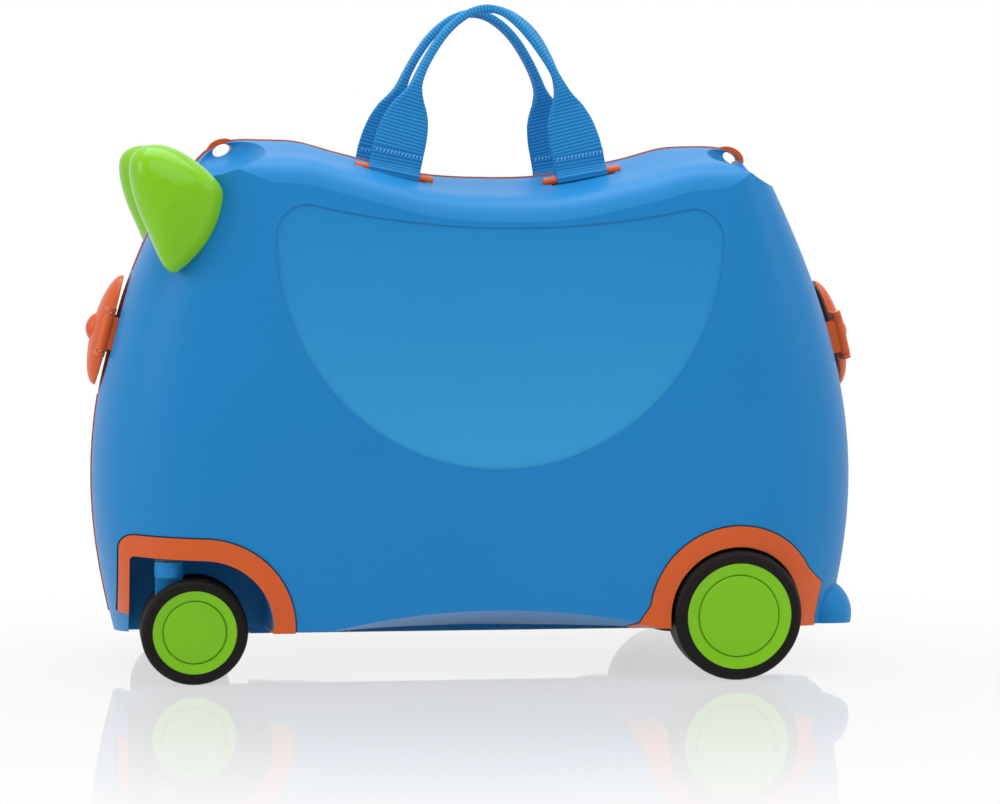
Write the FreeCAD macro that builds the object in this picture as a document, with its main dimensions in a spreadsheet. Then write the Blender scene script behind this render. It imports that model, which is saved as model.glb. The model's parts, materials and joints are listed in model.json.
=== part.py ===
"""Ride-on suitcase for a small child: two hinged half shells on casters and wheels, as separate pieces.

Millimetres. X runs along the case, with the horns and casters at -X. Y runs across it, with the near half
at -Y. Z is up from the floor. The seam between the two halves is the plane Y = 0.
"""
import FreeCAD
import Part
import Sketcher
import math
import os
import re
from types import SimpleNamespace

Vector = FreeCAD.Vector
UP = Vector(0, 0, 1)
ALONG = Vector(1, 0, 0)
ACROSS = Vector(0, 1, 0)

# Driving dimensions, in millimetres and degrees
SIZES = (
    # the case
    ("case_length", 451.0),
    ("case_half_width", 92.0),
    ("base_height", 20.0),
    ("case_top", 305.0),
    ("side_half_length", 124.0),
    ("saddle_dip", 20.0),
    ("saddle_half_span", 118.0),
    ("roof_fall", 11.0),
    ("keel_half_width", 8.0),
    ("keel_rise", 11.0),
    ("belly_rise", 11.0),
    ("belly_half_span", 95.0),
    ("brow_drop", 60.0),
    ("wall", 3.0),
    ("rim_depth", 9.0),
    ("rim_width", 6.0),
    ("heel_x", 203.0),
    ("heel_y", 42.0),
    ("heel_z", 31.0),
    ("heel_half_length", 18.0),
    ("heel_half_width", 26.0),
    ("heel_half_height", 20.0),
    # the seal in the seam
    ("seal_thickness", 2.0),
    ("seal_proud", 0.8),
    ("seal_depth", 5.0),
    ("seal_foot", 30.0),
    # the plain panel on each side
    ("panel_half_length", 127.0),
    ("panel_shoulder", 252.0),
    ("panel_top", 270.0),
    ("panel_bottom", 122.0),
    ("panel_dip", 12.0),
    ("panel_recess", 0.9),
    # the tow loops at the top corners
    ("tow_eye_x", 151.5),
    ("tow_eye_z", 299.0),
    ("tow_eye_half_length", 5.8),
    ("tow_eye_half_height", 3.3),
    ("tow_eye_tilt", 22.0),
    ("tow_loop_wall", 3.2),
    ("tow_loop_width", 8.0),
    ("dish_outward", 56.0),
    ("dish_half_length", 26.0),
    ("dish_half_width", 47.6),
    ("dish_half_height", 14.0),
    # the hinge under the case
    ("hinge_pin_radius", 2.0),
    ("knuckle_radius", 5.0),
    ("knuckle_length", 29.6),
    ("knuckle_gap", 0.5),
    ("hinge_clear", 0.6),
    ("running_fit", 0.05),
    ("seat_gap", 0.3),
    # the front casters
    ("caster_x", -184.0),
    ("caster_y", 70.0),
    ("caster_trail", 14.0),
    ("front_tyre_radius", 30.0),
    ("front_hub_radius", 23.5),
    ("front_cap_radius", 18.0),
    ("front_wheel_width", 9.5),
    ("fork_thickness", 8.0),
    ("fork_length", 15.0),
    ("fork_boss_radius", 9.0),
    ("fork_head_radius", 8.2),
    ("fork_head_height", 60.0),
    ("fork_flange_radius", 8.0),
    ("fork_flange_thickness", 3.0),
    ("caster_axle_radius", 2.5),
    ("stem_radius", 4.0),
    ("bush_wall", 1.5),
    ("bush_lip", 1.5),
    ("stem_boss_radius", 8.5),
    ("stem_boss_height", 26.0),
    ("clip_wall", 1.2),
    ("clip_groove", 1.0),
    ("clip_thickness", 1.2),
    # the wheel wells and their trims
    ("well_wall", 2.5),
    ("front_well_front", -205.5),
    ("front_well_rear", -126.5),
    ("front_well_top", 71.0),
    ("front_well_round", 38.0),
    ("front_well_inner", 21.0),
    ("front_well_corner", 3.0),
    ("arch_band", 12.0),
    ("arch_leg_width", 6.0),
    ("arch_leg_foot", 36.0),
    ("arch_proud", 0.8),
    ("arch_seat", 2.0),
    ("arch_gap", 0.7),
    ("arch_gap_depth", 1.4),
    ("rear_foot_front", 8.0),
    ("rear_wing_start", 25.0),
    ("rear_wing_height", 15.5),
    ("rear_wing_reach", 55.5),
    ("rear_wing_foot", 50.5),
    ("rear_foot_height", 18.0),
    # the rear wheels
    ("rear_wheel_x", 140.0),
    ("rear_tyre_radius", 37.4),
    ("rear_hub_radius", 30.5),
    ("rear_cap_radius", 23.8),
    ("rear_wheel_width", 26.0),
    ("rear_wheel_outer", 96.0),
    ("rear_well_clear", 2.0),
    ("rear_well_depth", 30.0),
    ("rear_axle_radius", 4.0),
    ("rear_boss_radius", 9.0),
    ("rear_boss_length", 16.0),
    # what every wheel has
    ("tyre_round", 3.5),
    ("cap_thickness", 2.4),
    ("cap_ring_gap", 0.6),
    ("hub_dish", 1.6),
    ("cap_proud", 0.7),
    ("cap_gap", 0.4),
    ("head_radius", 6.0),
    ("head_thickness", 1.6),
    ("wheel_gap", 0.5),
    # the horns
    ("horn_x", -181.5),
    ("horn_z", 264.5),
    ("horn_half_length", 26.0),
    ("horn_half_height", 37.0),
    ("horn_seat", 50.0),
    ("horn_reach", 103.0),
    ("horn_screw_radius", 2.0),
    ("horn_screw_head", 4.0),
    # the end latches
    ("latch_height", 193.0),
    ("latch_half_height", 33.0),
    ("latch_half_width", 21.0),
    ("latch_dome", 10.1),
    ("latch_wall", 2.5),
    ("latch_offset", 5.0),
    ("latch_nose_radius", 9.5),
    ("latch_nose_depth", 9.0),
    ("latch_nose_proud", 3.6),
    ("latch_pivot_across", 21.0),
    ("latch_pivot_out", 5.4),
    ("latch_back_gap", 3.0),
    ("barrel_radius", 3.4),
    ("barrel_length", 22.0),
    ("barrel_foot_width", 5.0),
    ("barrel_foot_depth", 7.0),
    ("ear_thickness", 3.0),
    ("ear_radius", 3.2),
    ("ear_gap", 0.4),
    ("barrel_clear", 0.6),
    ("latch_pin_radius", 1.5),
    ("latch_lean", 14.8),
    ("latch_x", 212.6),
    ("strike_across", 16.5),
    ("strike_length", 24.0),
    ("strike_width", 9.0),
    ("strike_thickness", 2.4),
    ("strike_sink", 6.0),
    ("pocket_depth", 5.0),
    ("pocket_half_width", 26.0),
    ("pocket_half_height", 37.0),
    ("pocket_offset", 3.0),
    # the webbing handles
    ("handle_half_span", 55.0),
    ("handle_y", 36.0),
    ("handle_top", 383.0),
    ("handle_lean", 5.0),
    ("bar_radius", 2.6),
    ("bar_length", 46.0),
    ("bar_tilt", 11.0),
    ("bar_rise", 1.5),
    ("bar_groove", 6.5),
    ("bar_groove_length", 38.0),
    ("webbing_width", 30.0),
    ("webbing_thickness", 3.0),
    ("webbing_loop_wall", 1.5),
    ("flex_height", 299.3),
    ("flex_gap", 0.3),
    ("grip_width", 14.0),
    ("grip_thickness", 6.0),
    # how far every cutting tool runs past what it cuts
    ("overrun", 20.0),
)

# Plan sections of the case from the base to above the top: shares of height, half length and half width
HEIGHT_SHARES = (0.0, 0.147, 0.333, 0.596, 0.807, 1.07)
FRONT_LENGTH_SHARES = (0.943, 0.982, 1.0, 0.953, 0.858, 0.66)
REAR_LENGTH_SHARES = (0.943, 0.982, 0.997, 0.936, 0.82, 0.615)
CORNER_SHARES = (0.957, 0.957, 0.957, 0.915, 0.76, 0.52)
CORNER_FULLNESS_SHARE = 0.66
ROUND_SHARE = 0.5523
# The saddle from its lowest point to its end: shares of its half span and of its dip
SADDLE_SPAN_SHARES = (0.34, 0.60, 0.78, 0.92)
FRONT_DIP_SHARES = (0.87, 0.50, 0.235, 0.03)
REAR_DIP_SHARES = (0.90, 0.575, 0.31, 0.075)
# The brow past the saddle: shares of the half length and of its drop
BROW_LENGTH_SHARES = (0.56, 0.62, 0.662, 0.693, 0.72, 0.743, 0.777, 0.83)
BROW_DROP_SHARES = (0.0, 0.0, 0.025, 0.075, 0.15, 0.25, 0.42, 0.70)
# The roof's fall from the seam to the side: shares of the half width and of the gentle fall
FALL_ACROSS_SHARES = (-0.1, 0.0, 0.45, 0.74, 0.86, 0.93, 0.975, 1.0, 1.015)
FALL_SHARES = (-0.09, 0.0, 0.45, 0.78, 0.97, 1.24, 1.64, 2.16, 2.85)
# The horn's sections, from its seat to its tip: shares of reach, half length, half height, and shifts
HORN_SECTION_SHARES = ((0.0, 0.55, 0.70, -0.40, -0.10), (0.42, 0.90, 0.92, -0.06, 0.0),
                       (0.64, 1.0, 1.0, 0.0, 0.0), (0.84, 0.84, 0.80, 0.08, 0.12),
                       (0.955, 0.52, 0.47, 0.18, 0.26), (1.0, 0.22, 0.20, 0.22, 0.30))
# The horn's outline, round from its top: shares of its half length and half height
HORN_OUTLINE_SHARES = ((-0.42, 1.0), (-0.11, 0.96), (0.24, 0.84), (0.56, 0.68), (0.84, 0.49),
                       (0.98, 0.33), (0.98, 0.12), (0.84, -0.20), (0.60, -0.48), (0.32, -0.70),
                       (0.07, -0.85), (-0.06, -0.885), (-0.20, -0.84), (-0.33, -0.72), (-0.55, -0.38),
                       (-0.79, 0.0), (-0.95, 0.36), (-1.0, 0.64), (-0.93, 0.84), (-0.72, 0.96))
# The grip of a webbing handle: shares of its half span, of its height and of its two widths
GRIP_SHARES = ((1.0, 0.0, 1.0, 0.0), (0.97, 0.16, 0.93, 0.05), (0.86, 0.36, 0.30, 0.70),
               (0.66, 0.66, 0.10, 0.9), (0.36, 0.90, 0.0, 1.0), (0.0, 1.0, 0.0, 1.0))

doc = FreeCAD.newDocument("RideOnSuitcase")
sheet = doc.addObject("Spreadsheet::Sheet", "sizes")
for row, (alias, number) in enumerate(SIZES, start=1):
    sheet.set("A%d" % row, alias)
    sheet.set("B%d" % row, str(number))
    sheet.setAlias("B%d" % row, alias)
doc.recompute()
d = SimpleNamespace(**{alias: float(sheet.get(alias)) for alias, number in SIZES})
ALIASES = {alias for alias, number in SIZES}
NODES = {}


def formula(text):
    """Turns plain size names into references to the sheet's cells."""
    return re.sub(r"[a-z_]{3,}", lambda m: "sizes." + m.group() if m.group() in ALIASES else m.group(), text)


def keep(label, item):
    """Names a finished piece, which gets a file of its own."""
    item.Label = label
    NODES[label] = item
    return item


def primitive(kind, name, sizes, at=("0", "0", "0"), turn=None):
    """A plain solid whose sizes and place are bound to the sheet."""
    item = doc.addObject(kind, name)
    for prop, text in sizes.items():
        item.setExpression(prop, formula(text))
    if turn:
        item.Placement = FreeCAD.Placement(Vector(0, 0, 0), turn)
    for axis, text in zip("xyz", at):
        item.setExpression("Placement.Base." + axis, formula(text))
    return item


def fused(name, pieces):
    item = doc.addObject("Part::MultiFuse", name)
    item.Shapes = pieces
    return item


def cut(name, base, tool):
    item = doc.addObject("Part::Cut", name)
    item.Base = base
    item.Tool = tool
    return item


def shaped(label, shape):
    """A piece whose form the functions below work out from the sheet's sizes."""
    item = doc.addObject("Part::Feature", label)
    item.Shape = shape
    item.Placement = shape.Placement
    return keep(label, item)


ALONG_Y = FreeCAD.Rotation(ALONG, -90)
ALONG_X = FreeCAD.Rotation(ACROSS, 90)
HALF_TURN = FreeCAD.Rotation(UP, 180)


def revolved(label, section, at, far_side=False):
    """A body turned about its own Y axis: the section is a ring of (radius, distance along the axis)."""
    body = doc.addObject("PartDesign::Body", label)
    sketch = body.newObject("Sketcher::SketchObject", label + "_section")
    plane = next(f for f in body.Origin.OriginFeatures if f.Role == "XY_Plane")
    sketch.AttachmentSupport = [(plane, "")]
    sketch.MapMode = "FlatFace"
    count = len(section)
    turns = [2 * math.pi * n / count for n in range(count)]
    corners = [Vector(2 + math.cos(turn), math.sin(turn), 0) for turn in turns]
    for n in range(count):
        sketch.addGeometry(Part.LineSegment(corners[n], corners[(n + 1) % count]), False)
    for n in range(count):
        sketch.addConstraint(Sketcher.Constraint("Coincident", n, 2, (n + 1) % count, 1))
    for n, (radius, along) in enumerate(section):
        if radius == "0":
            sketch.addConstraint(Sketcher.Constraint("PointOnObject", n, 1, -2))
        else:
            row = sketch.addConstraint(Sketcher.Constraint("DistanceX", -1, 1, n, 1, corners[n].x))
            sketch.setExpression("Constraints[%d]" % row, formula(radius))
        row = sketch.addConstraint(Sketcher.Constraint("DistanceY", -1, 1, n, 1, corners[n].y))
        sketch.setExpression("Constraints[%d]" % row, formula(along))
    turned = body.newObject("PartDesign::Revolution", label + "_turned")
    turned.Profile = sketch
    turned.ReferenceAxis = (sketch, ["V_Axis"])
    turned.Angle = 360
    if far_side:
        body.Placement = FreeCAD.Placement(Vector(0, 0, 0), HALF_TURN)
    for axis, text in zip("xyz", at):
        body.setExpression("Placement.Base." + axis, formula(text))
    return keep(label, body)


def round_rims(body, rim_radius, radius):
    """Rounds a turned body's circular edges that have the given radius."""
    doc.recompute()
    base = body.Tip
    names = []
    for n, edge in enumerate(base.Shape.Edges, start=1):
        if isinstance(edge.Curve, Part.Circle) and abs(edge.Curve.Radius - rim_radius) < d.running_fit:
            names.append("Edge%d" % n)
    fillet = body.newObject("PartDesign::Fillet", body.Name + "_rounds")
    fillet.Base = (base, names)
    fillet.setExpression("Radius", formula(radius))
    body.Tip = fillet


# The outer form of the near half, grown or shrunk by an inset
case_height = d.case_top - d.base_height
half_length = d.case_length / 2
roof_slope = d.roof_fall / d.case_half_width
keel_slope = d.keel_rise / (d.case_half_width - d.keel_half_width)
far_out = half_length + d.overrun


def largest(shape):
    return max(shape.Solids, key=lambda solid: solid.Volume)


def bezier(*poles):
    curve = Part.BezierCurve()
    curve.setPoles(list(poles))
    return curve.toShape()


def corner_curve(start, corner, end, fullness):
    """A rounded corner from start to end, drawn towards the corner point."""
    return bezier(start, start + (corner - start) * fullness, end + (corner - end) * fullness, end)


def plan_section(height_share, front_share, rear_share, corner_share, inset):
    """The half case cut level: a flat side, two rounded corners, two short end walls and the seam."""
    z = d.base_height + case_height * height_share
    nose = half_length * front_share - inset
    tail = half_length * rear_share - inset
    side = d.case_half_width - inset
    corner = d.case_half_width * corner_share - inset
    flat = d.side_half_length
    seam_front, seam_rear = Vector(-nose, 0, z), Vector(tail, 0, z)
    front, rear = Vector(-nose, corner - side, z), Vector(tail, corner - side, z)
    side_front, side_rear = Vector(-flat, -side, z), Vector(flat, -side, z)
    edges = [
        Part.LineSegment(seam_front, front).toShape(),
        corner_curve(front, Vector(-nose, -side, z), side_front, CORNER_FULLNESS_SHARE),
        Part.LineSegment(side_front, side_rear).toShape(),
        corner_curve(side_rear, Vector(tail, -side, z), rear, CORNER_FULLNESS_SHARE),
        Part.LineSegment(rear, seam_rear).toShape(),
        Part.LineSegment(seam_rear, seam_front).toShape(),
    ]
    return Part.Wire(edges)


def polygon_prism(points, direction):
    return Part.Face(Part.makePolygon(points + [points[0]])).extrude(direction)


def roof_profile(inset):
    """The roof's curve at the seam: the saddle between two level ends that round over into the end walls."""
    top = d.case_top - inset
    sides = []
    for end, dip_shares in ((-1, FRONT_DIP_SHARES), (1, REAR_DIP_SHARES)):
        side = []
        for span_share, dip_share in zip(SADDLE_SPAN_SHARES, dip_shares):
            side.append(Vector(end * d.saddle_half_span * span_share, 0, top - d.saddle_dip * dip_share))
        for length_share, drop_share in zip(BROW_LENGTH_SHARES, BROW_DROP_SHARES):
            side.append(Vector(end * (half_length * length_share - inset), 0, top - d.brow_drop * drop_share))
        sides.append(side)
    points = sides[0][::-1] + [Vector(0, 0, top - d.saddle_dip)] + sides[1]
    curve = Part.BSplineCurve()
    curve.interpolate(Points=points)
    return curve


def roof_block(inset):
    """Everything under the roof, which falls gently from the seam and then rounds over into the side."""
    curve = roof_profile(inset)
    first, last = curve.StartPoint, curve.EndPoint
    floor = -case_height
    corners = [last, Vector(far_out, 0, last.z), Vector(far_out, 0, floor), Vector(-far_out, 0, floor),
               Vector(-far_out, 0, first.z), first]
    outline = Part.Wire([curve.toShape()] + Part.makePolygon(corners).Edges)
    wires = []
    for across_share, fall_share in zip(FALL_ACROSS_SHARES, FALL_SHARES):
        wire = outline.copy()
        across = (d.case_half_width - inset) * across_share
        wire.translate(Vector(0, -across, -d.roof_fall * fall_share))
        wires.append(wire)
    return Part.makeLoft(wires, True, False)


def keel_prism(inset):
    """Everything over the underside, which rises from the keel to the side."""
    depth = d.case_half_width + d.overrun
    low = d.base_height + inset
    high = d.case_top + d.overrun
    rise = keel_slope * (depth - d.keel_half_width)
    points = [Vector(-far_out, 0, low), Vector(-far_out, -d.keel_half_width, low),
              Vector(-far_out, -depth, low + rise), Vector(-far_out, -depth, high), Vector(-far_out, 0, high)]
    return polygon_prism(points, Vector(2 * far_out, 0, 0))


def belly_arch(inset):
    """The long arch under the side, between the wheels: a round tool that leans down towards the keel."""
    radius = (d.belly_half_span ** 2 + d.belly_rise ** 2) / (2 * d.belly_rise)
    slope = (d.keel_rise + d.belly_rise) / (d.case_half_width - d.keel_half_width)
    depth = d.case_half_width + d.overrun
    crown = d.base_height + slope * (depth - d.keel_half_width)
    ring = Part.makeCircle(radius + inset, Vector(0, -depth, crown - radius), ACROSS)
    return Part.Face(Part.Wire(ring)).extrude(Vector(0, 2 * depth, -2 * slope * depth))


def eye_oval(end, length, height, shift):
    """An oval about a tow eye, tilted to follow the corner and moved by a shift."""
    oval = Part.Ellipse(Vector(0, 0, 0), max(length, height), min(length, height)).toShape()
    oval.rotate(Vector(0, 0, 0), ALONG, 90)
    oval.rotate(Vector(0, 0, 0), ACROSS, end * d.tow_eye_tilt)
    oval.translate(Vector(end * d.tow_eye_x, 0, d.tow_eye_z) + shift)
    return Part.Wire(oval)


def dish(end, inset):
    """The scoop in the roof beside a tow eye: a bowl that narrows to the eye at the seam."""
    centre = Vector(end * d.tow_eye_x, -d.dish_outward, d.tow_eye_z)
    halves = (d.dish_half_length + inset, d.dish_half_width + inset, d.dish_half_height + inset)
    bowl = ellipsoid(centre, halves)
    bowl.rotate(centre, ACROSS, end * d.tow_eye_tilt)
    return bowl


def case_volume(inset, dishes=True):
    """The near half as one solid block, its faces moved inwards by the inset."""
    sections = zip(HEIGHT_SHARES, FRONT_LENGTH_SHARES, REAR_LENGTH_SHARES, CORNER_SHARES)
    block = Part.makeLoft([plan_section(*shares, inset) for shares in sections], True, False)
    block = block.common(roof_block(inset)).common(keel_prism(inset)).cut(belly_arch(inset))
    if dishes:
        block = block.cut([dish(end, inset) for end in (-1, 1)])
    return block.Solids[0]


# Wheel wells, grown by a margin
rear_axle_z = d.rear_tyre_radius
rear_well_radius = d.rear_tyre_radius + d.rear_well_clear
rear_well_inner = d.rear_wheel_outer - d.rear_well_depth


def arch_profile(left, right, top, front_corner, corner, inner):
    """A block under an arch with rounded upper corners, from outside the case to the inner wall."""
    low = -d.overrun
    side = -(d.case_half_width + d.overrun)
    turn = corner * math.sqrt(0.5)
    front_turn = front_corner * math.sqrt(0.5)
    bend = Part.Arc(Vector(right - corner, side, top),
                    Vector(right - corner + turn, side, top - corner + turn),
                    Vector(right, side, top - corner))
    lines = Part.makePolygon([Vector(right, side, top - corner), Vector(right, side, low),
                              Vector(left, side, low), Vector(left, side, top - front_corner)])
    front_bend = Part.Arc(Vector(left, side, top - front_corner),
                          Vector(left + front_corner - front_turn, side, top - front_corner + front_turn),
                          Vector(left + front_corner, side, top))
    roof = Part.makeLine(Vector(left + front_corner, side, top), Vector(right - corner, side, top))
    face = Part.Face(Part.Wire([bend.toShape()] + lines.Edges + [front_bend.toShape(), roof]))
    return face.extrude(Vector(0, -side - inner, 0))


def front_well(margin, leg_margin):
    return arch_profile(d.front_well_front - leg_margin, d.front_well_rear + margin,
                        d.front_well_top + margin, d.front_well_corner + leg_margin,
                        d.front_well_round + margin, d.front_well_inner - margin)


def rear_well(margin):
    """A round well over the rear wheel, open downwards."""
    side = d.case_half_width + d.overrun
    radius = rear_well_radius + margin
    length = side - rear_well_inner + margin
    start = Vector(d.rear_wheel_x, -side, rear_axle_z)
    drum = Part.makeCylinder(radius, length, start, ACROSS)
    mouth = Part.makeBox(2 * radius, length, rear_axle_z, Vector(d.rear_wheel_x - radius, -side, 0))
    return drum.fuse(mouth).removeSplitter()


def rear_feet(margin):
    """The flared feet of the rear trim, one each side of the wheel."""
    outer = rear_well_radius + d.arch_band + margin
    side = -(d.case_half_width + d.overrun)
    top = rear_axle_z + d.rear_foot_height
    feet = []
    inside = d.rear_wheel_x - rear_well_radius
    edge = d.rear_wheel_x - outer
    points = [Vector(inside, side, top), Vector(edge + d.rear_foot_front, side, top),
              Vector(edge - d.rear_foot_front, side, d.base_height + d.keel_rise),
              Vector(edge - d.rear_foot_front, side, 0), Vector(inside, side, 0)]
    feet.append(polygon_prism(points, Vector(0, -side, 0)))
    inside = d.rear_wheel_x + rear_well_radius * math.sqrt(0.5)
    start = rear_axle_z + d.rear_wing_start
    heel_end = d.rear_wheel_x + d.rear_wing_foot + margin
    band_edge = d.rear_wheel_x + math.sqrt(outer ** 2 - d.rear_wing_start ** 2)
    points = [Vector(inside, side, start), Vector(band_edge, side, start),
              Vector(d.rear_wheel_x + d.rear_wing_reach + margin, side, rear_axle_z + d.rear_wing_height),
              Vector(heel_end, side, d.base_height + d.keel_rise), Vector(heel_end, side, 0),
              Vector(inside, side, 0)]
    feet.append(polygon_prism(points, Vector(0, -side, 0)))
    return feet


def arch_bands(margin):
    """The outlines of the front and rear trims round the two wheel wells, as blocks across the case."""
    front = front_well(d.arch_band + margin, d.arch_leg_width + margin).cut(front_well(0, 0))
    under_leg = Part.makeBox(far_out, d.case_half_width + d.overrun, d.arch_leg_foot - margin,
                             Vector(d.caster_x - far_out, -d.case_half_width - d.overrun, 0))
    keel_side = Part.makeBox(2 * far_out, rear_well_inner, d.arch_leg_foot,
                             Vector(-far_out, -rear_well_inner, 0))
    bush_room = Part.makeCylinder(d.stem_radius + d.running_fit + d.bush_wall, d.case_half_width,
                                  Vector(d.caster_x, -d.caster_y, 0), UP)
    hoop = rear_well(d.arch_band + margin).fuse(rear_feet(margin)).cut(rear_well(0))
    outer_half = Part.makeBox(2 * far_out, d.case_half_width + d.overrun - rear_well_inner, d.case_top,
                              Vector(-far_out, -d.case_half_width - d.overrun, 0))
    return front.cut([under_leg, keel_side, bush_room]), hoop.common(outer_half)


def case_skin(depth):
    return case_volume(-d.arch_proud, dishes=False).cut(case_volume(depth, dishes=False))


def arch_trims():
    """The front and rear trims: bands of the outer skin."""
    skin = case_skin(d.arch_seat)
    return [largest(skin.common(band)) for band in arch_bands(0)]


def arch_gaps():
    """The narrow gaps in the shell round the trims."""
    skin = case_skin(d.arch_gap_depth)
    return [skin.common(band) for band in arch_bands(d.arch_gap)]


# The plain panel, sunk into the flat side
def panel_block():
    side = -(d.case_half_width + d.overrun)
    half = d.panel_half_length
    shoulder, top, bottom = d.panel_shoulder, d.panel_top, d.panel_bottom
    corner = d.panel_top - d.panel_shoulder
    left, right, low = Vector(-half, side, shoulder), Vector(half, side, shoulder), Vector(0, side, bottom)
    top_left, top_right = Vector(corner - half, side, top), Vector(half - corner, side, top)
    edges = [
        corner_curve(left, Vector(-half, side, bottom), low, ROUND_SHARE),
        corner_curve(low, Vector(half, side, bottom), right, ROUND_SHARE),
        corner_curve(right, Vector(half, side, top), top_right, ROUND_SHARE),
        Part.Arc(top_right, Vector(0, side, top - d.panel_dip), top_left).toShape(),
        corner_curve(top_left, Vector(-half, side, top), left, ROUND_SHARE),
    ]
    return Part.Face(Part.Wire(edges)).extrude(Vector(0, d.overrun + d.panel_recess, 0))


# The hinge along the keel
hinge_length = 2 * half_length * REAR_LENGTH_SHARES[0] - 2 * d.rim_depth
knuckle_count = 2 * int(hinge_length / d.knuckle_length / 2) + 1
hinge_start = -knuckle_count * d.knuckle_length / 2


def knuckles(first, radius, margin):
    """Every second knuckle along the hinge line, as plain cylinders."""
    rods = []
    for n in range(first, knuckle_count, 2):
        start = Vector(hinge_start + n * d.knuckle_length - margin, 0, d.base_height)
        rods.append(Part.makeCylinder(radius, d.knuckle_length + 2 * margin, start, ALONG))
    return rods


def half_shell():
    """The near half before the pieces that differ from side to side: wall, rim, wells, bosses and panel."""
    outer = case_volume(0)
    shell = outer.cut(case_volume(d.wall))
    rim_slab = Part.makeBox(2 * far_out, d.rim_width, d.case_top + d.overrun,
                            Vector(-far_out, -d.rim_width, 0))
    rim = outer.common(rim_slab).cut(case_volume(d.rim_depth, dishes=False))
    liners = outer.common(front_well(d.well_wall, d.well_wall)).fuse(outer.common(rear_well(d.well_wall)))
    heel = ellipsoid(Vector(d.heel_x, -d.heel_y, d.heel_z),
                     (d.heel_half_length, d.heel_half_width, d.heel_half_height))
    heel = heel.common(keel_prism(0)).cut(case_volume(d.wall))
    stem_boss = Part.makeCylinder(d.stem_boss_radius, d.stem_boss_height,
                                  Vector(d.caster_x, -d.caster_y, d.front_well_top), UP).common(outer)
    axle_boss = Part.makeCylinder(d.rear_boss_radius, d.rear_boss_length + d.well_wall,
                                  Vector(d.rear_wheel_x, -rear_well_inner, rear_axle_z), ACROSS)
    pockets = [at_latch(end, latch_pocket(0)) for end in (-1, 1)]
    linings = [at_latch(end, latch_pocket(d.well_wall)).common(outer) for end in (-1, 1)]
    shell = shell.fuse([rim, liners, heel, stem_boss, axle_boss] + linings)
    stem_hole = Part.makeCylinder(d.stem_radius + d.running_fit + d.bush_wall, 2 * d.stem_boss_height,
                                  Vector(d.caster_x, -d.caster_y, d.front_well_top - d.overrun), UP)
    axle_hole = Part.makeCylinder(d.rear_axle_radius, d.case_half_width,
                                  Vector(d.rear_wheel_x, -d.case_half_width - d.overrun, rear_axle_z), ACROSS)
    seam_slab = Part.makeBox(2 * far_out, d.seal_thickness, d.case_top + d.overrun,
                             Vector(-far_out, -d.seal_thickness / 2, 0))
    wells = [front_well(0, 0), rear_well(0)]
    return shell.cut(wells + pockets + [stem_hole, axle_hole, panel_block(), seam_slab])


def mirrored(shape):
    return shape.mirror(Vector(0, 0, 0), ACROSS)


# Where the end latches sit: outwards, across and up the leaning end wall
def latch_place(end):
    turn = -d.latch_lean if end > 0 else 180 + d.latch_lean
    return FreeCAD.Placement(Vector(end * d.latch_x, 0, d.latch_height), FreeCAD.Rotation(ACROSS, turn))


def at_latch(end, shape):
    moved = shape.copy()
    moved.Placement = latch_place(end)
    return moved


def ellipsoid(centre, half_sizes):
    ball = Part.makeSphere(1, Vector(0, 0, 0), ALONG)
    stretch = FreeCAD.Matrix()
    stretch.scale(*half_sizes)
    ball = ball.transformGeometry(stretch)
    ball.translate(centre)
    return ball


def latch_pocket(margin):
    """The hollow behind a latch cover."""
    halves = (d.pocket_depth + margin, d.pocket_half_width + margin, d.pocket_half_height + margin)
    return ellipsoid(Vector(0, d.pocket_offset, 0), halves)


def latch_cover():
    """A hollow half egg with a round nose and two ears on the pin."""
    centre = Vector(d.latch_back_gap, d.latch_offset, 0)
    halves = (d.latch_dome, d.latch_half_width, d.latch_half_height)
    behind = Part.makeBox(far_out, 2 * far_out, 2 * far_out,
                          Vector(d.latch_back_gap - far_out, -far_out, -far_out))
    tip = d.latch_back_gap + d.latch_dome + d.latch_nose_proud
    nose = ellipsoid(Vector(tip - d.latch_nose_depth, d.latch_offset, 0),
                     (d.latch_nose_depth, d.latch_nose_radius, d.latch_nose_radius))
    hollow = ellipsoid(centre, [half - d.latch_wall for half in halves])
    cup = ellipsoid(centre, halves).cut(behind).cut(hollow).fuse(nose.cut([hollow, behind]))
    pivot = Vector(d.latch_pivot_out, -d.latch_pivot_across, 0)
    inner = d.barrel_length / 2 + d.ear_gap
    ears = []
    for low in (inner, -inner - d.ear_thickness):
        start = pivot + UP * low
        ears.append(Part.makeCylinder(d.ear_radius, d.ear_thickness, start, UP))
        reach = d.latch_pivot_across + d.latch_offset - d.latch_half_width * math.sqrt(0.5)
        ears.append(Part.makeBox(2 * d.ear_radius, reach, d.ear_thickness, start - ALONG * d.ear_radius))
    cup = cup.fuse([ear.cut([hollow, behind]) for ear in ears])
    bore = Part.makeCylinder(d.latch_pin_radius + d.running_fit, 2 * d.latch_half_height,
                             pivot - UP * d.latch_half_height, UP)
    clear = Part.makeCylinder(d.barrel_radius + d.barrel_clear, d.barrel_length + 2 * d.ear_gap,
                              pivot - UP * inner, UP)
    return largest(cup.cut([bore, clear]))


def latch_bracket():
    """The knuckle on the case: a barrel on a foot that sits in a slot of the shell."""
    pivot = Vector(d.latch_pivot_out, -d.latch_pivot_across, -d.barrel_length / 2)
    barrel = Part.makeCylinder(d.barrel_radius, d.barrel_length, pivot, UP)
    foot = Part.makeBox(d.latch_pivot_out + d.barrel_foot_depth, d.barrel_foot_width,
                        d.barrel_length - d.wall,
                        Vector(-d.barrel_foot_depth, -d.latch_pivot_across - d.barrel_foot_width / 2,
                               (d.wall - d.barrel_length) / 2))
    bore = Part.makeCylinder(d.latch_pin_radius, d.barrel_length, pivot, UP)
    return barrel.fuse(foot).removeSplitter().cut(bore)


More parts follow.
